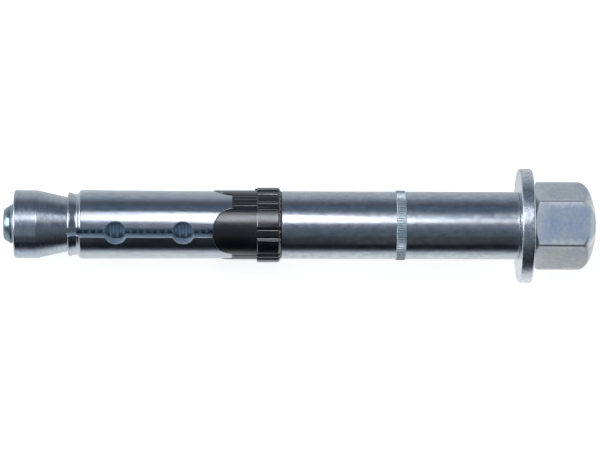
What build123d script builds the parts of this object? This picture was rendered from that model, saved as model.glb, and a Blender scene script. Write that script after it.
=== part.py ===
from build123d import *
from math import atan2, cos, degrees, pi, radians, sin, tan
import os

# Heavy-duty sleeve anchor for through-fixing: a stud with a domed cap nut and a washer at one end,
# and a spacer sleeve, a plastic crush ring, a slotted expansion sleeve and a cone nut along it.
# It lies on its side, as it comes to rest, on the rims of the washer and the cone nut.
# Stations run along its axis from the washer's seat, negative towards the tip.
# Sizes are in millimetres and degrees, and every clearance is measured on the radius.

# What the anchor is made for: the drilled hole, and the thickest fixture that it clamps
hole_diameter = 15.0
fixture_thickness = 25.0

# Threaded stud
stud_diameter = 10.0
thread_pitch = 1.5
thread_clearance = 0.02
stud_nose_length = 2.3
stud_nose_diameter = 6.9
stud_nose_taper = 2.8
stud_grip = 10.1
stud_end_chamfer = 1.0

# Cone nut
cone_hole_clearance = 0.07
cone_rim_length = 5.0
cone_angle = 12.6
cone_entry = 1.9
cone_thin_wall = 0.5
cone_edge_break = 0.35
cone_countersink = 0.7
cone_mouth_clearance = 0.03

# Expansion sleeve, rolled from a punched strip
sleeve_length = 35.8
sleeve_taper = 0.17
sleeve_bore_clearance = 0.22
slot_count = 3
slot_width = 1.65
slot_attitude = 15.0
slot_hole_length = 4.75
slot_hole_width = 5.1
front_hole_offset = 10.5
rear_hole_offset = 10.7
notch_depth = 4.3
notch_span = 86.4

# Lip and groove rolled round the sleeve's mouth: the lip is highest at the mouth
lip_drop = 0.35
lip_round = 0.35
groove_offset = 1.65
groove_depth = 0.92
groove_round = 0.3
groove_wall_angle = 40.0

# Plastic crush ring
ring_body_length = 5.3
ring_body_excess = 0.05
ring_bore_clearance = 0.32
tongue_clearance = 0.06
collar_length = 5.3
collar_excess = 0.65
collar_lead_length = 0.6
collar_lead_height = 0.7
collar_edge_break = 0.2

# Grooves of the crush ring: angle from a tongue's line, radius of the cutter and depth. The fin that
# two of them leave on the tongue's line reaches a little past the collar.
fin_groove_angle = 6.7
fin_groove_radius = 0.6
fin_groove_depth = 0.45
fin_reach = 0.4
rib_angle = 45.0
rib_groove_offset = 5.4
rib_groove_radius = 0.45
rib_groove_depth = 0.35
ripple_count = 4
ripple_pitch = 8.4
ripple_radius = 0.5
ripple_depth = 0.16

# Spacer sleeve, and the setting mark knurled round it, which the fixture just covers an edge of
spacer_embedment = 26.9
spacer_hole_clearance = 0.1
spacer_bore_clearance = 0.32
spacer_edge_break = 0.3
mark_cover = 0.25
mark_width = 2.1
mark_height = 0.22
mark_teeth = 74
mark_root_height = 0.05
mark_crest = 0.14

# Washer, punched from strip: the edge towards the tip is the one that the die rounded
washer_diameter = 25.0
washer_thickness = 2.9
washer_bore_clearance = 0.32
washer_die_radius = 0.4
washer_edge_break = 0.3

# Cap nut
nut_across_flats = 16.85
nut_attitude = 3.5
nut_face_relief = 0.625
nut_face_angle = 33.0
nut_dome_radius = 19.6
nut_corner_radius = 4.3
nut_corner_margin = 0.26
nut_thread_runout = 0.5
nut_drill_angle = 118.0
nut_crown_wall = 1.0
nut_countersink = 0.6

# Radii that follow
thread_radius = stud_diameter / 2
stud_radius = thread_radius - thread_clearance
hole_radius = hole_diameter / 2
cone_radius = hole_radius - cone_hole_clearance
cone_small_radius = thread_radius + cone_thin_wall
cone_slope = tan(radians(cone_angle))
sleeve_rear_radius = hole_radius - sleeve_taper
sleeve_bore_radius = stud_radius + sleeve_bore_clearance
lip_radius = hole_radius - lip_drop
groove_radius = hole_radius - groove_depth
ring_body_radius = hole_radius + ring_body_excess
ring_bore_radius = stud_radius + ring_bore_clearance
collar_radius = hole_radius + collar_excess
spacer_radius = hole_radius - spacer_hole_clearance
spacer_bore_radius = stud_radius + spacer_bore_clearance
washer_radius = washer_diameter / 2
washer_bore_radius = stud_radius + washer_bore_clearance
nut_corner = nut_across_flats / 2 / cos(radians(30))
nut_face_radius = nut_across_flats / 2 - nut_face_relief
nut_drill_radius = thread_radius - thread_pitch / 2

# Stations from the washer's seat towards the tip
spacer_start = -fixture_thickness - spacer_embedment
collar_start = spacer_start - collar_length
sleeve_end = collar_start - ring_body_length
sleeve_start = sleeve_end - sleeve_length
cone_end = sleeve_start + cone_entry
cone_shoulder = cone_end - (cone_radius - cone_small_radius) / cone_slope
cone_face = cone_shoulder - cone_rim_length
stud_start = cone_face - stud_nose_length

# Stations towards the cap nut's crown
nut_face = washer_thickness
stud_end = nut_face + stud_grip
nut_thread_end = stud_end + nut_thread_runout
nut_drill_end = nut_thread_end + nut_drill_radius / tan(radians(nut_drill_angle / 2))
nut_crown = nut_drill_end + nut_crown_wall

# At rest the axis rises towards the nut, along the tangent over the two rims
rim_rise = washer_radius - cone_radius
rim_distance = washer_die_radius - (cone_face + cone_edge_break)
rest_tilt = atan2(rim_rise, rim_distance)
along = (cos(rest_tilt), 0, sin(rest_tilt))
upwards = (-sin(rest_tilt), 0, cos(rest_tilt))

# Plane across the anchor at the washer's seat, and plane along it for turned outlines
seat = Plane(origin=(0, 0, 0), x_dir=upwards, z_dir=along)
lengthwise = Plane(origin=(0, 0, 0), x_dir=along, z_dir=(0, -1, 0))
anchor_axis = Axis((0, 0, 0), along)

# Slots, tongues and notches share their angles, and the first slot is the rolled strip's seam
slot_angles = [slot_attitude + number * 360 / slot_count for number in range(slot_count)]
seam_angle = slot_angles[0]


def section(station, angle=0):
    """Plane across the anchor at a station, with its X axis turned to an angle round the anchor."""
    return Plane(seat.location * Location((0, 0, station), (0, 0, angle)))


def radial_plane(station, angle):
    """Plane through the axis at a station, which faces outwards at an angle round the anchor."""
    turned = section(station, angle)
    return Plane(origin=turned.origin, x_dir=turned.z_dir, z_dir=turned.x_dir)


def punched_outline(station, angle, half_length, half_span):
    """Solid with radial walls, whose outline was an ellipse before the strip was rolled."""
    plane = radial_plane(station, angle)
    turns = [radians(turn) for turn in range(0, 360, 30)]
    with BuildPart() as outline:
        for height in (sleeve_bore_radius / 2, collar_radius):
            points = [
                (half_length * cos(turn), height * tan(radians(half_span * sin(turn))))
                for turn in turns
            ]
            with BuildSketch(plane.offset(height)):
                with BuildLine():
                    Spline(*points, periodic=True)
                make_face()
        loft(ruled=True)
    return outline.part


# Threaded stud: it runs through every other piece, and its nose is tapered
with BuildPart() as threaded_stud:
    with BuildSketch(lengthwise):
        with BuildLine():
            Polyline(
                (stud_start, 0),
                (stud_start, stud_nose_diameter / 2),
                (stud_start + stud_nose_taper, stud_radius),
                (stud_end - stud_end_chamfer, stud_radius),
                (stud_end, stud_radius - stud_end_chamfer),
                (stud_end, 0),
                close=True,
            )
        make_face()
    revolve(axis=anchor_axis)
threaded_stud.part.label = "threaded_stud"

# Cone nut: a turned rim and taper on the stud's thread, its small end in the sleeve's mouth
with BuildPart() as cone_nut:
    with BuildSketch(lengthwise):
        with BuildLine():
            Polyline(
                (cone_face, thread_radius + cone_countersink),
                (cone_face, cone_radius - cone_edge_break),
                (cone_face + cone_edge_break, cone_radius),
                (cone_shoulder, cone_radius),
                (cone_end, cone_small_radius),
                (cone_end, thread_radius),
                (cone_face + cone_countersink, thread_radius),
                close=True,
            )
        make_face()
    revolve(axis=anchor_axis)
cone_nut.part.label = "cone_nut"

# Mouth of the expansion sleeve, which follows the cone, and the groove behind its lip
mouth_radius = cone_small_radius + cone_entry * cone_slope + cone_mouth_clearance
mouth_end = sleeve_start + (mouth_radius - sleeve_bore_radius) / cone_slope
groove_station = sleeve_start + groove_offset
body_station = groove_station + groove_depth / tan(radians(groove_wall_angle))

# Holes that widen each slot, drawn wider as the strip is rolled, and the notches punched with them
front_hole = front_hole_offset - sleeve_length
hole_places = [(front_hole, 0), (-rear_hole_offset, 0)]
notches = [
    punched_outline(sleeve_end, angle, notch_depth, notch_span / 2)
    for angle in slot_angles
]

# Expansion sleeve: three slots from its mouth, each with two holes on it, and three notches at its
# rear end. The slot on the seam runs on to its notch, and the others end at their second hole.
with BuildPart() as expansion_sleeve:
    with BuildSketch(lengthwise):
        with BuildLine():
            Polyline(
                (sleeve_start, mouth_radius),
                (sleeve_start, lip_radius),
                (groove_station, groove_radius),
                (body_station, hole_radius),
                (sleeve_end, sleeve_rear_radius),
                (sleeve_end, sleeve_bore_radius),
                (mouth_end, sleeve_bore_radius),
                close=True,
            )
        make_face()
        fillet(vertices().sort_by_distance((sleeve_start, lip_radius))[0], lip_round)
        fillet(vertices().sort_by_distance((groove_station, groove_radius))[0], groove_round)
    revolve(axis=anchor_axis)
    slot_half_slope = slot_width / 2 / hole_radius
    for angle in slot_angles:
        slot_end = sleeve_end if angle == seam_angle else sleeve_end - rear_hole_offset
        with BuildSketch(section(sleeve_start, angle)):
            Polygon(
                (0, 0),
                (hole_diameter, -hole_diameter * slot_half_slope),
                (hole_diameter, hole_diameter * slot_half_slope),
                align=None,
            )
        extrude(amount=slot_end - sleeve_start, mode=Mode.SUBTRACT)
        with BuildSketch(radial_plane(sleeve_end, angle)):
            with Locations(hole_places):
                Ellipse(slot_hole_length / 2, slot_hole_width / 2)
        extrude(amount=hole_diameter, mode=Mode.SUBTRACT)
    add(notches, mode=Mode.SUBTRACT)
expansion_sleeve.part.label = "expansion_sleeve"

# Tongues of the crush ring, which fill the sleeve's notches
tongues = [
    punched_outline(
        sleeve_end,
        angle,
        notch_depth - tongue_clearance,
        notch_span / 2 - degrees(tongue_clearance / ring_body_radius),
    )
    for angle in slot_angles
]

# Width that the grooves beside a fin leave at the collar's top
fin_groove_centre = collar_radius - fin_groove_depth + fin_groove_radius
fin_groove_half_chord = (
    fin_groove_radius**2 - (fin_groove_radius - fin_groove_depth) ** 2
) ** 0.5
fin_width = 2 * (fin_groove_centre * tan(radians(fin_groove_angle)) - fin_groove_half_chord)

# Grooves of the crush ring, set out from each tongue's line: beside the fin on the line, beside
# the rib at either side of it, and as ripples between one tongue and the next
rib_grooves = [
    side * rib_angle + offset
    for side in (-1, 1)
    for offset in (-rib_groove_offset, rib_groove_offset)
]
ripples = [
    180 / slot_count + (number - (ripple_count - 1) / 2) * ripple_pitch
    for number in range(ripple_count)
]

# Crush ring: tongues, a body against the sleeve's end, and a ribbed collar against the spacer
with BuildPart() as crush_ring:
    with BuildSketch(section(sleeve_end - notch_depth)):
        Circle(ring_body_radius)
        Circle(ring_bore_radius, mode=Mode.SUBTRACT)
    extrude(amount=notch_depth)
    add(tongues, mode=Mode.INTERSECT)
    with BuildSketch(lengthwise):
        with BuildLine():
            Polyline(
                (sleeve_end, ring_bore_radius),
                (sleeve_end, ring_body_radius),
                (collar_start, ring_body_radius),
                (collar_start, collar_radius - collar_edge_break),
                (collar_start + collar_edge_break, collar_radius),
                (spacer_start - collar_lead_length, collar_radius),
                (spacer_start, collar_radius - collar_lead_height),
                (spacer_start, ring_bore_radius),
                close=True,
            )
        make_face()
    revolve(axis=anchor_axis)
    with BuildSketch(section(collar_start - fin_reach)):
        with PolarLocations(0, slot_count, slot_attitude):
            Rectangle(collar_radius, fin_width, align=(Align.MIN, Align.CENTER))
        Circle(collar_radius - collar_edge_break, mode=Mode.INTERSECT)
        Circle(ring_bore_radius, mode=Mode.SUBTRACT)
    extrude(amount=fin_reach)
    with BuildSketch(section(collar_start)):
        for angle in (-fin_groove_angle, fin_groove_angle):
            with PolarLocations(fin_groove_centre, slot_count, slot_attitude + angle):
                Circle(fin_groove_radius)
        for angle in rib_grooves:
            centre = collar_radius - rib_groove_depth + rib_groove_radius
            with PolarLocations(centre, slot_count, slot_attitude + angle):
                Circle(rib_groove_radius)
    extrude(amount=collar_length, mode=Mode.SUBTRACT)
    with BuildSketch(section(sleeve_end)):
        for angle in ripples:
            centre = ring_body_radius - ripple_depth + ripple_radius
            with PolarLocations(centre, slot_count, slot_attitude + angle):
                Circle(ripple_radius)
    extrude(amount=ring_body_length, mode=Mode.SUBTRACT)
crush_ring.part.label = "crush_ring"

# Setting mark: a raised band whose teeth are what is left between V grooves
mark_radius = spacer_radius + mark_height
mark_groove_depth = mark_height - mark_root_height
mark_groove_width = 2 * pi * mark_radius / mark_teeth - mark_crest

# Spacer sleeve: a plain tube with the setting mark round it
with BuildPart() as spacer_sleeve:
    with BuildSketch(section(spacer_start)):
        Circle(spacer_radius)
        Circle(spacer_bore_radius, mode=Mode.SUBTRACT)
    extrude(amount=-spacer_start)
    chamfer(edges().filter_by(GeomType.CIRCLE), spacer_edge_break)
    with BuildSketch(section(mark_cover - fixture_thickness)):
        Circle(mark_radius)
        with PolarLocations(mark_radius, mark_teeth):
            Polygon(
                (-mark_groove_depth, 0),
                (mark_groove_depth, mark_groove_width),
                (mark_groove_depth, -mark_groove_width),
                align=None,
                mode=Mode.SUBTRACT,
            )
        Circle(spacer_bore_radius, mode=Mode.SUBTRACT)
    extrude(amount=-mark_width)
spacer_sleeve.part.label = "spacer_sleeve"

# Washer
with BuildPart() as washer:
    with BuildSketch(seat):
        Circle(washer_radius)
        Circle(washer_bore_radius, mode=Mode.SUBTRACT)
    extrude(amount=washer_thickness)
    rim_edges = edges().filter_by(GeomType.CIRCLE).group_by(SortBy.RADIUS)[-1]
    rim_edges = rim_edges.sort_by(anchor_axis)
    fillet(rim_edges[0], washer_die_radius)
    chamfer(rim_edges[-1], washer_edge_break)
washer.part.label = "washer"

# Outline that the cap nut's hexagon is turned to: a chamfer at its face and a low dome at its crown
turned_radius = nut_corner + nut_corner_margin
chamfer_end = nut_face + (turned_radius - nut_face_radius) * tan(radians(nut_face_angle))
dome_sagitta = nut_dome_radius - (nut_dome_radius**2 - turned_radius**2) ** 0.5
dome_rim = (nut_crown - dome_sagitta, turned_radius)

# Cap nut: the turned hexagon with a blind threaded hole
with BuildPart() as cap_nut:
    with BuildSketch(section(nut_face)):
        RegularPolygon(nut_corner, 6, rotation=30 - nut_attitude)
    extrude(amount=nut_crown - nut_face)
    with BuildSketch(lengthwise):
        with BuildLine():
            Polyline(
                (nut_crown, 0),
                (nut_face, 0),
                (nut_face, nut_face_radius),
                (chamfer_end, turned_radius),
                dome_rim,
            )
            RadiusArc(dome_rim, (nut_crown, 0), nut_dome_radius)
        make_face()
        fillet(vertices().sort_by_distance(dome_rim)[0], nut_corner_radius)
    revolve(axis=anchor_axis, mode=Mode.INTERSECT)
    with BuildSketch(lengthwise):
        with BuildLine():
            Polyline(
                (nut_face, 0),
                (nut_face, thread_radius + nut_countersink),
                (nut_face + nut_countersink, thread_radius),
                (nut_thread_end, thread_radius),
                (nut_thread_end, nut_drill_radius),
                (nut_drill_end, 0),
                close=True,
            )
        make_face()
    revolve(axis=anchor_axis, mode=Mode.SUBTRACT)
cap_nut.part.label = "cap_nut"

os.makedirs("parts", exist_ok=True)
pieces = (threaded_stud, cone_nut, expansion_sleeve, crush_ring, spacer_sleeve, washer, cap_nut)
for piece in pieces:
    export_step(piece.part, f"parts/{piece.part.label}.step")
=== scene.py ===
from math import asin, atan2, cos, degrees, pi, radians, sin, sqrt, tan

import bpy
from mathutils import Matrix, Vector


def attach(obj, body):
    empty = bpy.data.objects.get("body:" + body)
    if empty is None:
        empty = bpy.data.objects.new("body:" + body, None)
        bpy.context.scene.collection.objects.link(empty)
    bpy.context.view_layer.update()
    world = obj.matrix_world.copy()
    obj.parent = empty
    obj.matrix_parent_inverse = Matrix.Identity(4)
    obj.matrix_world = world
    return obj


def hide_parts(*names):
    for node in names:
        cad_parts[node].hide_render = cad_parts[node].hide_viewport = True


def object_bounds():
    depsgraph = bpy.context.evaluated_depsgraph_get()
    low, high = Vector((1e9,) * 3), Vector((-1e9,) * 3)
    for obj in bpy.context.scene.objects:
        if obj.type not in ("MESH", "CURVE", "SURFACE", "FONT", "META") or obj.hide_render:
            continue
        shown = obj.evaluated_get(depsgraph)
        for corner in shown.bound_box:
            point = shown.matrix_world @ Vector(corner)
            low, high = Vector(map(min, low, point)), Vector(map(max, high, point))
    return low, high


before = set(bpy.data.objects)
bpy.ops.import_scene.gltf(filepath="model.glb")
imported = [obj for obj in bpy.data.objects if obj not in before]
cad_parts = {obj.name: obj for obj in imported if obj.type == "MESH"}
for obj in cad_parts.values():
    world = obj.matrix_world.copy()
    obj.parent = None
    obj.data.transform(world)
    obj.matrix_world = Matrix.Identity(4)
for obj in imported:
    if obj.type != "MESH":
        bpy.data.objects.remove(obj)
cad_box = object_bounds()
bpy.ops.object.select_all(action="DESELECT")

# Heavy-duty sleeve anchor, as it lies on a white table under a softbox.
# Sizes are in millimetres and degrees, and Blender's own are in metres.
# Every piece is modelled along the X axis, with X 0 at the washer's seat and the tip towards -X,
# and it is laid down at its tilt when its shape is done.
MM = 0.001
WELD = 0.002 * MM
CUT = 0.1 * WELD

# Lengths of the pieces that follow each other from the washer's seat to the tip
spacer_length = 51.9
collar_length = 5.3
ring_body_length = 5.3
sleeve_length = 35.8
cone_entry = 1.9
cone_taper_length = 8.634
cone_rim_length = 5.0
stud_nose_length = 2.3

# Lengths of what lies behind the seat, and of the stud past the washer
washer_thickness = 2.9
stud_reach = 10.1
nut_height = 14.15

# A fixture of full thickness covers the setting mark's rear edge by a little
fixture_thickness = 25.0
mark_cover = 0.25
mark_width = 2.1

# Stations along the anchor
spacer_front = -spacer_length
collar_front = spacer_front - collar_length
sleeve_rear = collar_front - ring_body_length
sleeve_mouth = sleeve_rear - sleeve_length
cone_end = sleeve_mouth + cone_entry
cone_shoulder = cone_end - cone_taper_length
cone_face = cone_shoulder - cone_rim_length
stud_tip = cone_face - stud_nose_length
mark_rear = mark_cover - fixture_thickness
mark_front = mark_rear - mark_width
nut_face = washer_thickness
stud_rear = nut_face + stud_reach
nut_crown = nut_face + nut_height

# Radii
thread_crest = 4.98
thread_root = 4.08
cone_radius = 7.43
hole_radius = 7.5
sleeve_bore = 5.2
ring_bore = 5.3
ring_body = 7.55
collar_radius = 8.15
spacer_radius = 7.4
washer_radius = 12.5

# The anchor lies on the rims of the washer and the cone nut
washer_die_radius = 0.4
cone_edge_break = 0.35
rim_distance = washer_die_radius - (cone_face + cone_edge_break)
rest_tilt = atan2(washer_radius - cone_radius, rim_distance)
along = Vector((cos(rest_tilt), 0, sin(rest_tilt)))
upwards = Vector((-sin(rest_tilt), 0, cos(rest_tilt)))
lowest = cad_box[0].z


def start_point(name):
    """A piece that is one loose point at the origin, in edit mode."""
    bpy.ops.object.select_all(action="DESELECT")
    bpy.ops.mesh.primitive_plane_add(size=MM, location=(0, 0, 0))
    piece = bpy.context.object
    piece.name = name
    piece.data.name = name
    bpy.ops.object.mode_set(mode="EDIT")
    bpy.ops.mesh.select_mode(type="VERT")
    bpy.ops.mesh.select_all(action="SELECT")
    bpy.ops.mesh.merge(type="CENTER")
    return piece


def draw(points):
    """Draws a line from the loose point through points in millimetres."""
    places = [Vector(point) * MM for point in points]
    bpy.ops.transform.translate(value=places[0])
    for place, following in zip(places, places[1:]):
        bpy.ops.mesh.extrude_region_move(TRANSFORM_OT_translate={"value": following - place})


def open_up(piece):
    """Makes a piece the active one and opens it in edit mode."""
    bpy.context.view_layer.objects.active = piece
    bpy.ops.object.mode_set(mode="EDIT")


def weld():
    """Merges doubles and turns the faces outwards."""
    bpy.ops.mesh.select_all(action="SELECT")
    bpy.ops.mesh.remove_doubles(threshold=WELD)
    bpy.ops.mesh.normals_make_consistent(inside=False)


def turned(name, outline, steps=144, closed=True):
    """A piece turned on the X axis from an outline of (station, radius) points."""
    piece = start_point(name)
    draw([(station, 0, radius) for station, radius in outline])
    bpy.ops.object.mode_set(mode="OBJECT")
    ends = (0, len(piece.data.vertices) - 1)
    for vertex in piece.data.vertices:
        vertex.select = vertex.index in ends
    bpy.ops.object.mode_set(mode="EDIT")
    if closed:
        bpy.ops.mesh.edge_face_add()
    bpy.ops.mesh.select_all(action="SELECT")
    bpy.ops.mesh.spin(steps=steps, angle=2 * pi, center=(0, 0, 0), axis=(1, 0, 0))
    weld()
    bpy.ops.object.mode_set(mode="OBJECT")
    return piece


def rounded(outline, radii):
    """An outline with round corners: radii gives the radius at each corner's number."""
    points = []
    count = len(outline)
    for number, corner in enumerate(outline):
        radius = radii.get(number)
        if radius is None:
            points.append(corner)
            continue
        here = Vector(corner)
        before = (Vector(outline[number - 1]) - here).normalized()
        after = (Vector(outline[(number + 1) % count]) - here).normalized()
        half = before.angle(after) / 2
        centre = here + (before + after).normalized() * (radius / sin(half))
        start = here + before * (radius / tan(half)) - centre
        end = here + after * (radius / tan(half)) - centre
        parts = max(2, round(degrees(pi - 2 * half) / 15))
        for part in range(parts + 1):
            share = part / parts
            points.append(tuple(centre + start.slerp(end, share).normalized() * radius))
    return points


def modify(piece, kind, **settings):
    """Adds a modifier to a piece and applies it."""
    bpy.ops.object.select_all(action="DESELECT")
    bpy.context.view_layer.objects.active = piece
    piece.select_set(True)
    modifier = piece.modifiers.new(kind.lower(), kind)
    for name, value in settings.items():
        setattr(modifier, name, value)
    bpy.ops.object.modifier_apply(modifier=modifier.name)


def lay_down(piece, turn=0.0):
    """Turns a finished piece about its axis, tilts it to rest and smooths its shading."""
    piece.data.transform(Matrix.Rotation(radians(turn), 4, "X"))
    piece.data.transform(Matrix.Rotation(-rest_tilt, 4, "Y"))
    bpy.ops.object.select_all(action="DESELECT")
    bpy.context.view_layer.objects.active = piece
    piece.select_set(True)
    bpy.ops.object.shade_smooth_by_angle(angle=radians(35))
    modify(piece, "WEIGHTED_NORMAL", keep_sharp=True, weight=60)


# Threaded stud
pitch = 1.5
thread_start = stud_tip - pitch
crest_width = 0.19
crest_softness = 0.06
blank_radius = 5.0
end_chamfer = 1.0
# Flat end, edge and taper: distance from the tip, and radius
NOSE_PROFILE = ((0, 3.1), (0.35, 3.5), (2.8, blank_radius))


def make_stud():
    """The stud: one pitch of thread is screwed along it, then turned down to the blank."""
    flank = (thread_crest - thread_root) * tan(radians(30))
    root_width = pitch - crest_width - 2 * flank
    rise = thread_start + root_width / 2 + flank
    fall = rise + crest_width
    soft = crest_softness
    stud = start_point("stud")
    draw([
        (thread_start, 0, thread_root),
        (thread_start + root_width / 2, 0, thread_root),
        (rise - soft / 2, 0, thread_crest - soft),
        (rise + soft / 2, 0, thread_crest),
        (fall - soft / 2, 0, thread_crest),
        (fall + soft / 2, 0, thread_crest - soft),
        (thread_start + pitch - root_width / 2, 0, thread_root),
        (thread_start + pitch, 0, thread_root),
    ])
    bpy.ops.object.mode_set(mode="OBJECT")
    turns = round((stud_rear - thread_start) / pitch) + 2
    modify(
        stud, "SCREW", axis="X", screw_offset=pitch * MM, angle=2 * pi, steps=48, render_steps=48,
        iterations=turns, use_merge_vertices=True, merge_threshold=WELD,
    )
    open_up(stud)
    for station, keep_rear in ((stud_tip - 0.1, True), (stud_rear + 0.1, False)):
        bpy.ops.mesh.select_all(action="SELECT")
        bpy.ops.mesh.bisect(
            plane_co=(station * MM, 0, 0), plane_no=(1, 0, 0), use_fill=True,
            clear_inner=keep_rear, clear_outer=not keep_rear, threshold=CUT,
        )
    weld()
    bpy.ops.object.mode_set(mode="OBJECT")
    nose = [(stud_tip, 0)] + [(stud_tip + reach, radius) for reach, radius in NOSE_PROFILE]
    rear = [
        (stud_rear - end_chamfer, blank_radius), (stud_rear, blank_radius - end_chamfer),
        (stud_rear, 0),
    ]
    blank = turned("blank", nose + rear, steps=96, closed=False)
    modify(stud, "BOOLEAN", operation="INTERSECT", object=blank, solver="EXACT")
    bpy.data.objects.remove(blank)
    lay_down(stud)
    return stud


def make_cone():
    """The cone nut, turned, with its edges broken and its bore countersunk."""
    bore = 5.02
    countersink = 0.73
    small_radius = 5.5
    outline = rounded(
        [
            (cone_face, bore + countersink), (cone_face, cone_radius),
            (cone_shoulder, cone_radius), (cone_end, small_radius),
            (cone_end, bore), (cone_face + countersink, bore),
        ],
        {1: 0.5, 2: 1.2, 3: 0.15},
    )
    cone = turned("cone", outline)
    lay_down(cone)
    return cone


# Expansion sleeve: its slots, the punched holes on them, and the notches for the ring's tongues
slot_width = 1.65
slot_attitude = 15.0
hole_length = 4.75
hole_width = 5.1
front_hole = sleeve_mouth + 10.5
rear_hole = sleeve_rear - 10.7
notch_depth = 4.3
notch_half_span = radians(43.2)
third = 2 * pi / 3
# Turn round a hole at which the slot's edge meets it
slot_cut = asin(slot_width / hole_width)
# Lip and groove at the mouth: distance from the mouth, and depth below the sleeve's outside
LIP_PROFILE = (
    (0, 0.7), (0.14, 0.56), (0.25, 0.505), (0.36, 0.49), (0.47, 0.51),
    (1.75, 0.93), (2.05, 0.82), (2.74, 0), (sleeve_length, 0.17),
)
# The mouth opens inside to take the cone: how deep at the mouth, and how far along
entry_depth = 0.755
entry_reach = 3.38
# Faint ridge that punching leaves beside each slot, measured from the slot's middle line, and
# the share of its height that is there along the sleeve
ridge_height = 0.05
ridge_offset = 1.25
ridge_half_width = 0.42
RIDGE_PROFILE = (
    (front_hole, 0), (front_hole + 1.2, 1), (rear_hole - 6.8, 1), (rear_hole - 3.8, 0.4),
    (sleeve_rear, 0.4),
)


def hole_edge(station, middle, start, end, parts):
    """Points round part of a punched hole, which is wider than it is long."""
    turns = [start + (end - start) * part / parts for part in range(parts + 1)]
    return [
        (station + hole_length / 2 * cos(turn), middle + hole_width / 2 * sin(turn))
        for turn in turns
    ]


def slot_side(middle, side):
    """Edge of a slot from its rear hole to the mouth, on one side of the slot's middle line."""
    points = []
    for station in (rear_hole, front_hole):
        points += hole_edge(station, middle, side * slot_cut, side * (pi - slot_cut), 16)
    points.append((sleeve_mouth, middle + side * slot_width / 2))
    return points


def notch_side(radius, depth, half_span, start, end, parts):
    """Points of a notch's edge or a tongue's edge, as (station, place round the strip)."""
    turns = [start + (end - start) * part / parts for part in range(parts + 1)]
    return [
        (sleeve_rear - depth * cos(turn), radius * half_span * sin(turn)) for turn in turns
    ]


def sleeve_outline():
    """Outline of the flat strip, with the seam slot's two sides at its ends."""
    spacing = hole_radius * third
    seam_turn = slot_width / 2 / (hole_radius * notch_half_span)
    points = []
    for number in range(3):
        middle = number * spacing
        if number:
            points += slot_side(middle, -1)[::-1]
            points += hole_edge(rear_hole, middle, -slot_cut, slot_cut, 6)[1:-1]
        points += slot_side(middle, 1)
    points += slot_side(3 * spacing, -1)[::-1]
    for number in (3, 2, 1, 0):
        start = pi / 2 if number < 3 else -seam_turn
        end = -pi / 2 if number > 0 else seam_turn
        parts = 12 if number in (0, 3) else 24
        edge = notch_side(hole_radius, notch_depth, notch_half_span, start, end, parts)
        points += [(station, place + number * spacing) for station, place in edge]
    return [(station, place - 1.5 * spacing) for station, place in points]


def plate(name, outline, thickness):
    """A flat plate with its outline in stations and places, its outer face at Y 0."""
    piece = start_point(name)
    draw([(station, 0, place) for station, place in outline])
    bpy.ops.mesh.select_all(action="SELECT")
    bpy.ops.mesh.edge_face_add()
    bpy.ops.mesh.extrude_region_move(TRANSFORM_OT_translate={"value": (0, thickness * MM, 0)})
    weld()
    bpy.ops.object.mode_set(mode="OBJECT")
    return piece


def cut_across(piece, stations, places):
    """Cuts a plate at stations and at places round it, so that it can be pressed and rolled."""
    open_up(piece)
    cuts = [((station * MM, 0, 0), (1, 0, 0)) for station in stations]
    cuts += [((0, 0, place * MM), (0, 0, 1)) for place in places]
    for point, normal in cuts:
        bpy.ops.mesh.select_all(action="SELECT")
        bpy.ops.mesh.bisect(plane_co=point, plane_no=normal, threshold=CUT)
    bpy.ops.object.mode_set(mode="OBJECT")


def press(piece, thickness, outer_depth, inner_depth):
    """Presses a plate's two faces in by depths that depend on station and place."""
    for vertex in piece.data.vertices:
        station, height, place = vertex.co / MM
        depth = outer_depth if height < thickness / 2 else inner_depth
        vertex.co.y += depth(station, place) * MM


def roll(piece, radius, length):
    """Rolls a plate round the X axis, its outer face at a radius."""
    modify(piece, "SIMPLE_DEFORM", deform_method="BEND", deform_axis="X", angle=length / radius)
    piece.data.transform(Matrix.Translation((0, -radius * MM, 0)))


def break_edges(piece, width, segments):
    """Rounds a plate's sharp edges."""
    modify(
        piece, "BEVEL", width=width * MM, segments=segments, limit_method="ANGLE",
        angle_limit=radians(60), use_clamp_overlap=True,
    )


def smoothed(profile, softness):
    """A depth that follows (station, depth) points in straight lines with softened corners."""
    def straight(station):
        """The depth before its corners are softened."""
        if station <= profile[0][0]:
            return profile[0][1]
        for (start, low), (end, high) in zip(profile, profile[1:]):
            if station <= end:
                return low + (high - low) * (station - start) / (end - start)
        return profile[-1][1]

    def depth(station, place=0):
        """The mean of nearby depths, whatever the place round the piece."""
        samples = [straight(station + softness * (number / 4 - 1)) for number in range(9)]
        return sum(samples) / len(samples)

    return depth


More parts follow.
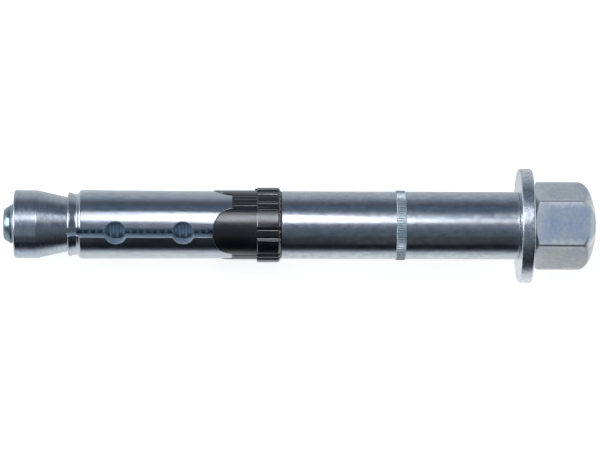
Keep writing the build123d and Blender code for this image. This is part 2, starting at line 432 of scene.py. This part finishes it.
def make_expansion_sleeve():
    """The sleeve: a strip is cut out flat, its lip is pressed, and it is rolled round the stud."""
    wall = hole_radius - sleeve_bore
    sleeve = plate("expansion_shell", sleeve_outline(), wall)
    break_edges(sleeve, width=0.14, segments=3)
    around = 2 * pi * hole_radius
    turns = 144
    places = [(number + 0.5 - turns / 2) * around / turns for number in range(turns)]
    lip_stations = [sleeve_mouth + 0.06 * number for number in range(3, 10)]
    lip_stations += [sleeve_mouth + 0.15 * number for number in range(4, 24)]
    cut_across(sleeve, lip_stations, places)
    softness = 0.1
    lip = smoothed([(sleeve_mouth + reach, depth) for reach, depth in LIP_PROFILE], softness)
    entry = smoothed(
        [(sleeve_mouth, -entry_depth), (sleeve_mouth + entry_reach, 0), (sleeve_rear, 0)], softness,
    )
    ridge = smoothed(RIDGE_PROFILE, softness)
    # Sheared edges have the second material, apart from the mouth's
    for face in sleeve.data.polygons:
        behind_mouth = face.center.x > (sleeve_mouth + 0.1) * MM
        face.material_index = int(behind_mouth and abs(face.normal.y) < 0.9)

    def outer_depth(station, place):
        """The lip's depth, less the ridge beside each slot."""
        spacing = third * hole_radius
        from_slot = (place + 1.5 * spacing) % spacing
        from_slot = min(from_slot, spacing - from_slot)
        off_ridge = abs(from_slot - ridge_offset) / ridge_half_width
        if station < front_hole or station > sleeve_rear - notch_depth or off_ridge > 1:
            return lip(station)
        return lip(station) - ridge_height * ridge(station) * (0.5 + 0.5 * cos(pi * off_ridge))

    press(sleeve, wall, outer_depth, entry)
    roll(sleeve, hole_radius, around - slot_width)
    open_up(sleeve)
    weld()
    bpy.ops.object.mode_set(mode="OBJECT")
    lay_down(sleeve, 90 + slot_attitude)
    return sleeve


# Crush ring: its tongues, which fill the sleeve's notches, and the reach of the fin on each
tongue_depth = 4.24
tongue_half_span = notch_half_span - 0.06 / ring_body
fin_reach = 0.4
fin_half_width = 2.7
# Dents in its outside: (degrees from the tongue's line, half width in degrees, depth).
# One pair of grooves leaves the fin on that line, and a pair at either side leaves a rib.
GROOVES = (
    (6.7, 4.1, 0.45), (-6.7, 4.1, 0.45),
    (39.6, 3.6, 0.35), (50.4, 3.6, 0.35), (-39.6, 3.6, 0.35), (-50.4, 3.6, 0.35),
)
# Ripples lie between one tongue and the next, over the ends of each third of the ring
RIPPLES = tuple(
    (end + (number - 1.5) * 8.4, 2.6, 0.09) for end in (60, -60) for number in range(4)
)


def scoop(place, dents):
    """Depth of round-bottomed dents at a place in degrees."""
    depth = 0
    for middle, half_width, deepest in dents:
        share = abs(place - middle) / half_width
        if share < 1:
            depth = max(depth, deepest * (0.5 + 0.5 * cos(pi * share)) ** 0.7)
    return depth


def ring_places():
    """Degrees at which a third of the ring is cut, closer together in its dents."""
    marks = [-60 + 2.5 * number for number in range(1, 48)]
    for middle, half_width, _ in GROOVES:
        marks += [middle + half_width * quarter / 4 for quarter in range(-4, 5)]
    for middle, half_width, _ in RIPPLES:
        if abs(middle) < 60:
            marks += [middle + half_width * half / 2 for half in range(-2, 3)]
    marks = sorted(marks)
    kept = [marks[0]]
    for mark in marks[1:]:
        if mark - kept[-1] > 0.25:
            kept.append(mark)
    return kept


def make_ring():
    """The ring: one third is cut out flat with its tongue, pressed, rolled and copied round."""
    radius = collar_radius
    wall = radius - ring_bore
    half = radius * third / 2
    tongue = notch_side(radius, tongue_depth, tongue_half_span, -pi / 2, pi / 2, 32)
    outline = [
        (sleeve_rear, -half), *tongue, (sleeve_rear, half),
        (spacer_front, half), (spacer_front, -half),
    ]
    ring = plate("ring_moulding", outline, wall)
    # The faces where the thirds will meet go
    open_up(ring)
    bpy.ops.mesh.select_mode(type="FACE")
    bpy.ops.mesh.select_all(action="DESELECT")
    bpy.ops.object.mode_set(mode="OBJECT")
    for face in ring.data.polygons:
        face.select = abs(face.normal.z) > 0.99 and abs(abs(face.center.z) - half * MM) < WELD
    bpy.ops.object.mode_set(mode="EDIT")
    bpy.ops.mesh.delete(type="FACE")
    bpy.ops.object.mode_set(mode="OBJECT")
    break_edges(ring, width=0.12, segments=2)
    # The collar is led in at its rear edge
    lead_length = 0.6
    lead_depth = 0.7
    lead = smoothed(
        [(collar_front, 0), (spacer_front - lead_length, 0), (spacer_front, lead_depth)], 0.08,
    )
    step = radius - ring_body
    deepest = step + 0.1
    slack = 0.01
    edge_length = 0.2
    edge_depth = 0.16

    def outer_depth(station, place):
        """Depth below the collar: ripples on the ring's body, grooves and a lead on the collar."""
        turn = degrees(place / radius)
        front = collar_front - (fin_reach if abs(turn) < fin_half_width else 0)
        if station < front + slack:
            return step + scoop(turn, RIPPLES)
        depth = scoop(turn, GROOVES) + lead(station)
        if station < front + edge_length:
            share = (station - front - slack) / (edge_length - slack)
            depth = max(depth, edge_depth * (1 - share))
        return min(depth, deepest)

    stations = [
        front + past for front in (collar_front - fin_reach, collar_front)
        for past in (0, 0.03, 0.1, edge_length)
    ]
    stations += [spacer_front - before for before in (0.75, 0.68, 0.6, 0.52, 0.4)]
    cut_across(ring, stations, [radians(mark) * radius for mark in ring_places()])
    press(ring, wall, outer_depth, lambda station, place: 0)
    roll(ring, radius, 2 * half)
    open_up(ring)
    bpy.ops.mesh.select_all(action="SELECT")
    bpy.ops.mesh.spin(steps=3, angle=2 * pi, center=(0, 0, 0), axis=(1, 0, 0), dupli=True)
    weld()
    bpy.ops.object.mode_set(mode="OBJECT")
    lay_down(ring, slot_attitude - 90)
    return ring


def make_spacer():
    """The spacer sleeve, a turned tube."""
    outline = rounded(
        [
            (spacer_front, ring_bore), (spacer_front, spacer_radius),
            (0, spacer_radius), (0, ring_bore),
        ],
        {0: 0.2, 1: 0.3, 2: 0.3, 3: 0.2},
    )
    tube = turned("spacer_tube", outline)
    lay_down(tube)
    return tube


def make_mark():
    """The setting mark: a turned band, drawn in at one of the columns that make up each tooth."""
    teeth = 96
    columns = 3
    crest = spacer_radius + 0.22
    root = spacer_radius + 0.04
    sunk = spacer_radius - 0.1
    slope = 0.12
    mark = turned(
        "setting_mark",
        [
            (mark_front, sunk), (mark_front, root), (mark_front + slope, crest),
            (mark_rear - slope, crest), (mark_rear, root), (mark_rear, sunk),
        ],
        steps=teeth * columns,
    )
    step = 2 * pi / teeth
    open_up(mark)
    bpy.ops.mesh.select_all(action="DESELECT")
    bpy.ops.object.mode_set(mode="OBJECT")
    for vertex in mark.data.vertices:
        place = vertex.co / MM
        share = (atan2(place.y, place.z) / step) % 1
        in_groove = min(share, 1 - share) < 0.25 / columns
        vertex.select = in_groove and Vector(place.yz).length > crest - 0.01
    bpy.ops.object.mode_set(mode="EDIT")
    bpy.ops.transform.resize(value=(1, root / crest, root / crest), center_override=(0, 0, 0))
    bpy.ops.object.mode_set(mode="OBJECT")
    lay_down(mark)
    return mark


def make_washer():
    """The washer, with one edge rounded by the die and the burr taken off the other."""
    outline = rounded(
        [(0, ring_bore), (0, washer_radius), (nut_face, washer_radius), (nut_face, ring_bore)],
        {0: 0.15, 1: washer_die_radius, 2: 0.5, 3: 0.3},
    )
    disc = turned("washer_disc", outline, steps=180)
    lay_down(disc)
    return disc


# Cap nut
nut_turn = -3.5
across_flats = 16.85
dome_radius = 19.6
shoulder_radius = 4.3


def make_nut():
    """The cap nut: a hexagon bar, turned to its dome and its chamfer."""
    corner = across_flats / 2 / cos(radians(30))
    spare = 1.0
    depth = nut_crown + spare - (nut_face - spare)
    bpy.ops.object.select_all(action="DESELECT")
    bpy.ops.mesh.primitive_cylinder_add(
        vertices=6, radius=corner * MM, depth=depth * MM,
        location=((nut_face - spare + depth / 2) * MM, 0, 0), rotation=(0, pi / 2, 0),
    )
    nut = bpy.context.object
    nut.name = "nut"
    nut.data.name = "nut"
    bpy.ops.object.transform_apply(location=True, rotation=True, scale=True)
    modify(nut, "BEVEL", width=0.42 * MM, segments=4, limit_method="ANGLE", angle_limit=radians(50))
    chamfer_angle = radians(33)
    turned_radius = corner + 0.26
    face_radius = across_flats / 2 - 0.625
    chamfer_end = nut_face + (turned_radius - face_radius) * tan(chamfer_angle)
    # The dome's arc meets the shoulder's where their centres and the meeting point are in line
    dome_centre = nut_crown - dome_radius
    shoulder_height = turned_radius - shoulder_radius
    shoulder_offset = sqrt((dome_radius - shoulder_radius) ** 2 - shoulder_height ** 2)
    meeting = atan2(shoulder_height, shoulder_offset)
    turns = [meeting * number / 10 for number in range(11)]
    outline = [(dome_centre + dome_radius * cos(turn), dome_radius * sin(turn)) for turn in turns]
    turns = [meeting + (pi / 2 - meeting) * number / 16 for number in range(1, 17)]
    outline += [
        (
            dome_centre + shoulder_offset + shoulder_radius * cos(turn),
            shoulder_height + shoulder_radius * sin(turn),
        )
        for turn in turns
    ]
    outline += [(chamfer_end, turned_radius), (nut_face, face_radius), (nut_face, 0)]
    form = turned("form", outline, steps=180, closed=False)
    modify(nut, "BOOLEAN", operation="INTERSECT", object=form, solver="EXACT")
    bpy.data.objects.remove(form)
    modify(
        nut, "BEVEL", width=0.22 * MM, segments=3, limit_method="ANGLE",
        angle_limit=radians(14), use_clamp_overlap=True,
    )
    lay_down(nut, nut_turn)
    return nut


def nodes_of(owner):
    """The node tree of a material or the world, emptied."""
    owner.use_nodes = True
    tree = owner.node_tree
    tree.nodes.clear()
    return tree


def add_node(tree, kind, **settings):
    """A new node with its settings."""
    node = tree.nodes.new(kind)
    for name, value in settings.items():
        setattr(node, name, value)
    return node


def work_out(tree, operation, first, second=None):
    """A number worked out from a value and, where it takes one, a second value or number."""
    step = add_node(tree, "ShaderNodeMath", operation=operation)
    tree.links.new(first, step.inputs[0])
    if isinstance(second, (int, float)):
        step.inputs[1].default_value = second
    elif second is not None:
        tree.links.new(second, step.inputs[1])
    return step.outputs[0]


def times(tree, colour, factor):
    """A colour times a factor."""
    scaled = add_node(tree, "ShaderNodeVectorMath", operation="SCALE")
    tree.links.new(colour, scaled.inputs[0])
    tree.links.new(factor, scaled.inputs["Scale"])
    return scaled.outputs[0]


def mixed(tree, factor, first, second):
    """One colour mixed with another, which may be a constant, by a factor."""
    mix = add_node(tree, "ShaderNodeMix", data_type="RGBA")
    tree.links.new(factor, mix.inputs["Factor"])
    tree.links.new(first, mix.inputs[6])
    if isinstance(second, tuple):
        mix.inputs[7].default_value = second
    else:
        tree.links.new(second, mix.inputs[7])
    return mix.outputs[2]


def split_up(tree, vector):
    """The outputs that hold a vector's X, Y and Z."""
    split = add_node(tree, "ShaderNodeSeparateXYZ")
    tree.links.new(vector, split.inputs[0])
    return split.outputs


def along_anchor(tree, stretch):
    """Object coordinates levelled to the anchor's axis, times a stretch for each direction."""
    place = add_node(tree, "ShaderNodeTexCoord")
    level = add_node(tree, "ShaderNodeMapping")
    level.inputs["Rotation"].default_value = (0, rest_tilt, 0)
    drawn = add_node(tree, "ShaderNodeVectorMath", operation="MULTIPLY")
    drawn.inputs[1].default_value = stretch
    tree.links.new(place.outputs["Object"], level.inputs["Vector"])
    tree.links.new(level.outputs[0], drawn.inputs[0])
    return drawn.outputs[0]


def speckle(tree, place, size, detail):
    """Noise whose spots are about a size in millimetres across."""
    noise = add_node(tree, "ShaderNodeTexNoise")
    noise.inputs["Scale"].default_value = 1 / (size * MM)
    noise.inputs["Detail"].default_value = detail
    tree.links.new(place, noise.inputs["Vector"])
    return noise.outputs["Fac"]


def spread(tree, value, low, high, start=0.3, end=0.7):
    """A value between start and end, spread from low to high."""
    reach = add_node(tree, "ShaderNodeMapRange")
    reach.inputs["From Min"].default_value = start
    reach.inputs["From Max"].default_value = end
    reach.inputs["To Min"].default_value = low
    reach.inputs["To Max"].default_value = high
    tree.links.new(value, reach.inputs["Value"])
    return reach.outputs[0]


def colour_ramp(tree, value, stops):
    """A ramp of (position, colour) stops along a value. A colour may bring its own alpha."""
    ramp = add_node(tree, "ShaderNodeValToRGB")
    while len(ramp.color_ramp.elements) < len(stops):
        ramp.color_ramp.elements.new(0.5)
    for element, (position, colour) in zip(ramp.color_ramp.elements, stops):
        element.position = position
        element.color = (*colour, 1)[:4]
    tree.links.new(value, ramp.inputs[0])
    return ramp.outputs


def tints(tree, value, colours):
    """Colours side by side along a value from 0.3 to 0.7."""
    last = len(colours) - 1
    stops = [(0.3 + 0.4 * number / last, colour) for number, colour in enumerate(colours)]
    return colour_ramp(tree, value, stops)["Color"]


def graded(tree, value, stops, start, end, unit=1):
    """A ramp of (value, colour) stops from a start to an end, with its values in a unit."""
    share = spread(tree, value, 0, 1, start * unit, end * unit)
    shares = [((place - start) / (end - start), colour) for place, colour in stops]
    return colour_ramp(tree, share, shares)


def relief(tree, height, depth, shader):
    """Bumps of a depth in millimetres on a shader."""
    bump = add_node(tree, "ShaderNodeBump")
    bump.inputs["Distance"].default_value = depth * MM
    tree.links.new(height, bump.inputs["Height"])
    tree.links.new(bump.outputs[0], shader.inputs["Normal"])


def start_material(name, metal=0.0):
    """A new material, its node tree and its one shader."""
    material = bpy.data.materials.new(name)
    tree = nodes_of(material)
    output = add_node(tree, "ShaderNodeOutputMaterial")
    shader = add_node(tree, "ShaderNodeBsdfPrincipled")
    tree.links.new(shader.outputs["BSDF"], output.inputs["Surface"])
    shader.inputs["Metallic"].default_value = metal
    return material, tree, shader


def start_glow(name):
    """A new material that only glows, its node tree and its colour socket."""
    material = bpy.data.materials.new(name)
    tree = nodes_of(material)
    output = add_node(tree, "ShaderNodeOutputMaterial")
    shine = add_node(tree, "ShaderNodeEmission")
    tree.links.new(shine.outputs[0], output.inputs["Surface"])
    return material, tree, shine.inputs["Color"]


def zinc(
    name, roughness, colours, mottle=0.06, spot=1.1, waver=0.004, wave=2.5, drawn=(1, 1, 1),
    dark_end=1.0, smooth_end=1.0, metal=1.0,
):
    """Zinc plating in clouds of tint, with a fine mottle, an uneven gloss and a darker tip."""
    material, tree, shader = start_material(name, metal)
    place = along_anchor(tree, drawn)
    clouds = tints(tree, speckle(tree, place, 7, 3), colours)
    fine = spread(tree, speckle(tree, place, spot, 4), 1 - mottle, 1 + mottle)
    colour = times(tree, clouds, fine)
    gloss = spread(tree, speckle(tree, place, 1.6, 3), roughness * 0.8, roughness * 1.2)
    if dark_end < 1:
        station = split_up(tree, place)["X"]
        tip = (cone_face * MM, (cone_face + 2) * MM)
        colour = times(tree, colour, spread(tree, station, dark_end, 1, *tip))
        gloss = work_out(tree, "MULTIPLY", gloss, spread(tree, station, smooth_end, 1, *tip))
    tree.links.new(colour, shader.inputs["Base Color"])
    tree.links.new(gloss, shader.inputs["Roughness"])
    relief(tree, speckle(tree, place, wave, 3), waver, shader)
    return material


def sheared_zinc(name):
    """Zinc on faces that a punch has sheared: dull, and scored in the punch's direction."""
    material, tree, shader = start_material(name, 0.55)
    score = speckle(tree, along_anchor(tree, (1, 0.2, 0.2)), 0.25, 3)
    dull = tints(tree, score, ((0.44, 0.58, 0.72), (0.70, 0.82, 0.94)))
    tree.links.new(dull, shader.inputs["Base Color"])
    tree.links.new(spread(tree, score, 0.5, 0.7), shader.inputs["Roughness"])
    relief(tree, score, 0.02, shader)
    return material


def moulded_plastic(name):
    """Glossy black plastic with flow marks and a fine grain."""
    material, tree, shader = start_material(name)
    shader.inputs["IOR"].default_value = 1.7
    shader.inputs["Specular IOR Level"].default_value = 1.0
    place = along_anchor(tree, (0.45, 1, 1))
    flow = speckle(tree, place, 3, 3)
    black = tints(tree, flow, ((0.002, 0.002, 0.003), (0.006, 0.006, 0.007)))
    tree.links.new(black, shader.inputs["Base Color"])
    tree.links.new(spread(tree, flow, 0.18, 0.27), shader.inputs["Roughness"])
    relief(tree, speckle(tree, place, 0.9, 4), 0.006, shader)
    return material


def nut_plating(name):
    """Matt zinc on the nut: bluish flats, with a painted highlight along the hexagon's edges and at
    the end beside the washer, and a painted reflection that makes the flat facing up darker and
    bluer.
    """
    material, tree, shader = start_material(name, 1.0)
    place = along_anchor(tree, (1, 1, 1))
    blotch = speckle(tree, place, 5, 3)
    flats = tints(tree, blotch, ((0.77, 0.82, 0.89), (0.88, 0.90, 0.89), (0.94, 0.94, 0.90)))
    # Painted reflection: a darker, bluer tint for the flat that faces up
    up_flat_painted_reflection = tints(tree, blotch, ((0.51, 0.61, 0.79), (0.61, 0.69, 0.78), (0.67, 0.73, 0.78)))
    # Sixths of a turn round the nut, whole at the hexagon's corners
    parts = split_up(tree, place)
    turn = work_out(tree, "ARCTAN2", parts["Y"], parts["Z"])
    sixth = work_out(tree, "ADD", work_out(tree, "DIVIDE", turn, pi / 3), 6.5 + nut_turn / 60)
    # A painted reflection: the flat that faces up is painted darker and bluer than the others
    faces_up = work_out(tree, "COMPARE", work_out(tree, "FLOOR", sixth), 6)
    plating = mixed(tree, faces_up, flats, up_flat_painted_reflection)
    # Place across a flat: 0 at its middle, 1 at the hexagon's corners
    centred = work_out(tree, "SUBTRACT", work_out(tree, "FRACT", sixth), 0.5)
    across = work_out(tree, "MULTIPLY", work_out(tree, "ABSOLUTE", centred), 2)
    # Painted highlight towards the hexagon's corners, with an uneven border
    uneven = spread(tree, speckle(tree, place, 0.9, 3), -0.09, 0.09)
    edge = spread(tree, work_out(tree, "ADD", across, uneven), 0, 1, 0.72, 1.0)
    # The end beside the washer gets the painted highlight too, and the far end keeps its blue
    front = spread(tree, parts["X"], 1, 0, nut_face * MM, (nut_face + 3.5) * MM)
    front = work_out(tree, "MULTIPLY", front, spread(tree, blotch, 0.5, 1))
    # The painted highlights mix the colour towards white and make it a little glossier
    painted_highlight_share = work_out(tree, "MAXIMUM", edge, front)
    bright = mixed(tree, work_out(tree, "MULTIPLY", painted_highlight_share, 0.9), plating, (1.0, 1.0, 1.0, 1))
    fine = spread(tree, speckle(tree, place, 0.7, 4), 0.92, 1.08)
    tree.links.new(times(tree, bright, fine), shader.inputs["Base Color"])
    tree.links.new(spread(tree, painted_highlight_share, 0.5, 0.4, 0, 1), shader.inputs["Roughness"])
    relief(tree, speckle(tree, place, 0.8, 4), 0.008, shader)
    return material


def dress(piece, materials, slot, *nodes):
    """Gives a piece its materials, attaches it to the root body and hides the nodes that it stands
    for; the slot is not used.
    """
    for material in materials:
        piece.data.materials.append(material)
    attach(piece, "root")
    if nodes:
        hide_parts(*nodes)


# Materials and pieces. The setting mark is part of the spacer sleeve's node, so it replaces none.
steel_tints = ((0.58, 0.63, 0.71), (0.655, 0.685, 0.72), (0.62, 0.63, 0.70))
sleeve_zinc = zinc("sleeve_zinc", 0.19, steel_tints, mottle=0.07, drawn=(0.5, 1, 1))
sleeve_edges = sheared_zinc("sleeve_edges")
spacer_zinc = zinc("spacer_zinc", 0.21, steel_tints, mottle=0.12, waver=0.009, drawn=(0.7, 1, 1))
mark_zinc = zinc(
    "mark_zinc", 0.32, ((0.60, 0.72, 0.78), (0.78, 0.84, 0.87)), mottle=0.15, spot=0.6,
)
stud_zinc = zinc(
    "stud_zinc", 0.42, ((0.42, 0.58, 0.68), (0.56, 0.66, 0.76)), mottle=0.1, dark_end=0.56,
    smooth_end=0.62, metal=0.75,
)
cone_zinc = zinc(
    "cone_zinc", 0.25, ((0.55, 0.61, 0.70), (0.65, 0.67, 0.70)), mottle=0.1, spot=0.7,
    waver=0.008, wave=0.9, drawn=(1, 0.35, 0.35),
)
washer_zinc = zinc(
    "washer_zinc", 0.27, ((0.80, 0.85, 0.92), (0.97, 0.97, 1.0)), mottle=0.2, spot=0.9,
    waver=0.05, wave=1.2,
)
nut_zinc = nut_plating("nut_zinc")
dress(make_stud(), [stud_zinc], "stud_zinc", "threaded_stud")
dress(make_cone(), [cone_zinc], "cone_zinc", "cone_nut")
dress(make_expansion_sleeve(), [sleeve_zinc, sleeve_edges], "sleeve_zinc", "expansion_sleeve")
dress(make_ring(), [moulded_plastic("ring_plastic")], "ring_plastic", "crush_ring")
dress(make_spacer(), [spacer_zinc], "sleeve_zinc", "spacer_sleeve")
dress(make_mark(), [mark_zinc], "sleeve_zinc")
dress(make_washer(), [washer_zinc], "washer_zinc", "washer")
dress(make_nut(), [nut_zinc], "nut_zinc", "cap_nut")

# Floor: white, and it keeps the anchor's soft shadow
bpy.ops.mesh.primitive_plane_add(size=6, location=(0, 0, lowest))
floor = bpy.context.object
floor.name = "floor"
floor_material = bpy.data.materials.new("floor_white")
tree = nodes_of(floor_material)
output = add_node(tree, "ShaderNodeOutputMaterial")
paper = add_node(tree, "ShaderNodeBsdfDiffuse")
paper.inputs["Color"].default_value = (0.9, 0.9, 0.9, 1)
glow = add_node(tree, "ShaderNodeEmission")
glow.inputs["Strength"].default_value = 0.8
lit = add_node(tree, "ShaderNodeAddShader")
tree.links.new(paper.outputs[0], lit.inputs[0])
tree.links.new(glow.outputs[0], lit.inputs[1])
# What metal sees of the floor: a painted pool of light, which glows for glossy rays only, bright
# below the anchor in the picture, dimmer above it
FLOOR_STOPS = (
    (-150, (0.08, 0.09, 0.12)),
    (-90, (0.32, 0.35, 0.39)),
    (-55, (0.54, 0.58, 0.63)),
    (-25, (0.78, 0.82, 0.835)),
    (0, (0.80, 0.83, 0.84)),
    (22, (0.46, 0.51, 0.55)),
    (100, (0.27, 0.31, 0.38)),
    (150, (0.22, 0.26, 0.32)),
)
place = add_node(tree, "ShaderNodeTexCoord")
across = split_up(tree, place.outputs["Object"])["Y"]
# The floor's painted glow, as glossy rays see it
seen = add_node(tree, "ShaderNodeEmission")
seen_colour = graded(tree, across, FLOOR_STOPS, -150, 150, MM)["Color"]
tree.links.new(seen_colour, seen.inputs["Color"])
path = add_node(tree, "ShaderNodeLightPath")
camera_mix = add_node(tree, "ShaderNodeMixShader")
glossy_mix = add_node(tree, "ShaderNodeMixShader")
tree.links.new(path.outputs["Is Camera Ray"], camera_mix.inputs[0])
tree.links.new(paper.outputs[0], camera_mix.inputs[1])
tree.links.new(lit.outputs[0], camera_mix.inputs[2])
tree.links.new(path.outputs["Is Glossy Ray"], glossy_mix.inputs[0])
tree.links.new(camera_mix.outputs[0], glossy_mix.inputs[1])
tree.links.new(seen.outputs[0], glossy_mix.inputs[2])
tree.links.new(glossy_mix.outputs[0], output.inputs["Surface"])
floor.data.materials.append(floor_material)

# Studio: radiance by angle round the anchor's axis, from straight up towards +Y
STUDIO_STOPS = (
    (-95, (0.05, 0.06, 0.08)),
    (-88, (0.012, 0.016, 0.022)),
    (-60, (0.010, 0.014, 0.018)),
    (-44, (0.03, 0.038, 0.048)),
    (-36, (0.097, 0.118, 0.14)),
    (-20, (0.10, 0.13, 0.157)),
    (-6, (0.16, 0.19, 0.25)),
    (8, (0.25, 0.28, 0.34)),
    (36, (0.25, 0.28, 0.34)),
    (44, (0.10, 0.14, 0.20)),
    (60, (0.10, 0.135, 0.19)),
    (76, (0.082, 0.098, 0.12)),
    (86, (0.155, 0.175, 0.205)),
    (95, (0.25, 0.28, 0.33)),
)
# Walls at the back of the table, by direction along it, with how far each covers the studio: a
# white panel behind the tip, a dark wall towards the nut, and a white one past it
WALL_STOPS = (
    (-0.55, (1.0, 1.03, 1.08, 1.0)),
    (-0.3, (1.0, 1.03, 1.08, 0.0)),
    (0.15, (0.02, 0.04, 0.08, 0.0)),
    (0.28, (0.02, 0.04, 0.08, 1.0)),
    (0.6, (0.03, 0.05, 0.09, 1.0)),
    (0.85, (1.0, 1.0, 1.0, 1.0)),
)
# Share of the walls that is there, by direction across the table
WALL_SPAN = ((-0.2, 0.0), (-0.08, 0.8), (0.16, 0.8), (0.24, 1.0), (0.5, 1.0), (0.6, 0.1))
world = bpy.data.worlds.new("studio")
bpy.context.scene.world = world
tree = nodes_of(world)
output = add_node(tree, "ShaderNodeOutputWorld")
direction = add_node(tree, "ShaderNodeTexCoord")
parts = split_up(tree, direction.outputs["Generated"])
angle = work_out(tree, "ARCTAN2", parts["Y"], parts["Z"])
light = graded(tree, angle, STUDIO_STOPS, -95, 95, radians(1))["Color"]
walls = graded(tree, parts["X"], WALL_STOPS, -1, 1)
span_stops = [(y, (share, share, share)) for y, share in WALL_SPAN]
span = graded(tree, parts["Y"], span_stops, -0.6, 0.6)["Color"]
cover = work_out(tree, "MULTIPLY", walls["Alpha"], span)
studio = add_node(tree, "ShaderNodeBackground")
tree.links.new(mixed(tree, cover, light, walls["Color"]), studio.inputs["Color"])
backdrop = add_node(tree, "ShaderNodeBackground")
backdrop.inputs["Color"].default_value = (1, 1, 1, 1)
path = add_node(tree, "ShaderNodeLightPath")
mix = add_node(tree, "ShaderNodeMixShader")
tree.links.new(path.outputs["Is Camera Ray"], mix.inputs[0])
tree.links.new(studio.outputs[0], mix.inputs[1])
tree.links.new(backdrop.outputs[0], mix.inputs[2])
tree.links.new(mix.outputs[0], output.inputs["Surface"])

# Softbox over the anchor, in panels from the tip to the nut: station, near edge, far edge, level
SOFTBOX_PANELS = (
    (-300, 110, 230, 1.4),
    (-140, 108, 212, 1.4),
    (-112, 84, 395, 1.9),
    (-84, 72, 368, 2.0),
    (-71, 36, 272, 2.2),
    (-54, 54, 240, 2.2),
    (-45, 60, 175, 1.7),
    (-22, 61, 172, 1.6),
    (-7, 61, 180, 1.5),
    (4, 72, 140, 0.85),
    (30, 72, 130, 0.42),
    (70, 60, 150, 0.15),
)
softbox_height = 400
panel_count = len(SOFTBOX_PANELS) - 1
bpy.ops.mesh.primitive_grid_add(
    x_subdivisions=panel_count, y_subdivisions=1, size=1, location=(0, 0, softbox_height * MM),
)
softbox = bpy.context.object
softbox.name = "softbox"
for vertex in softbox.data.vertices:
    panel_station, near, far, _ = SOFTBOX_PANELS[round((vertex.co.x + 0.5) * panel_count)]
    edge = far if vertex.co.y > 0 else near
    vertex.co = Vector((panel_station * MM, edge * MM, 0))
softbox.visible_camera = False
softbox_material, tree, softbox_colour = start_glow("softbox_glow")
place = add_node(tree, "ShaderNodeTexCoord")
station = split_up(tree, place.outputs["Object"])["X"]
softbox_stops = [
    (panel_station, (level, level * 1.03, level * 1.08))
    for panel_station, _, _, level in SOFTBOX_PANELS
]
tree.links.new(graded(tree, station, softbox_stops, -300, 70, MM)["Color"], softbox_colour)
softbox.data.materials.append(softbox_material)

# Cards: dim ones in front of the table, white ones under the softbox over the ring, over the far
# end for the cone's taper, and beside the tip. Each has its four corners and its level.
CARDS = (
    ("cone_card", ((-250, -175, 200), (-122, -175, 200), (-122, -60, 200), (-250, -60, 200)), 0.27),
    ("cone_fill", ((-250, -420, 200), (-122, -420, 200), (-122, -175, 200), (-250, -175, 200)), 0.09),
    ("spacer_card", ((-46, -480, 200), (20, -480, 200), (20, -185, 200), (-46, -185, 200)), 0.085),
    ("ring_shine", ((-76, 95, 398), (-50, 90, 398), (-50, 235, 398), (-76, 250, 398)), 7.0),
    ("cone_shine", ((62, 140, 400), (115, 140, 400), (115, 305, 400), (62, 305, 400)), 2.2),
    ("tip_card", ((-200, -9, 8), (-200, 50, 0), (-200, 50, 28), (-200, -9, 42)), 6.0),
)
# A new plane's vertices, in order round it
PLANE_CORNERS = (0, 1, 3, 2)
for name, corners, level in CARDS:
    bpy.ops.mesh.primitive_plane_add(size=1, location=(0, 0, 0))
    card = bpy.context.object
    card.name = name
    for vertex, corner in zip(PLANE_CORNERS, corners):
        card.data.vertices[vertex].co = Vector(corner) * MM
    card.visible_camera = False
    card_material, _, card_colour = start_glow(name)
    card_colour.default_value = (level * 0.92, level, level * 1.1, 1)
    card.data.materials.append(card_material)

# Camera: it looks down on the table from over the front half of the anchor
camera_height = 743
camera_station = -65.0
picture_station = -47.72
picture_width = 131.2
picture_roll = radians(0.19)
sensor_width = 36
scene = bpy.context.scene
camera = bpy.data.objects.new("camera", bpy.data.cameras.new("camera"))
scene.collection.objects.link(camera)
scene.camera = camera
place = along * camera_station * MM + upwards * camera_height * MM
target = along * picture_station * MM
backwards = (place - target).normalized()
distance = (place - target).length / MM
right = Vector((0, 1, 0)).cross(backwards).normalized()
above = backwards.cross(right)
turn = Matrix((right, above, backwards)).transposed().to_4x4()
camera.matrix_world = Matrix.Translation(place) @ turn @ Matrix.Rotation(picture_roll, 4, "Z")
camera.data.sensor_width = sensor_width
camera.data.lens = sensor_width * distance / picture_width
camera.data.clip_end = 20
scene.view_settings.view_transform = "Standard"
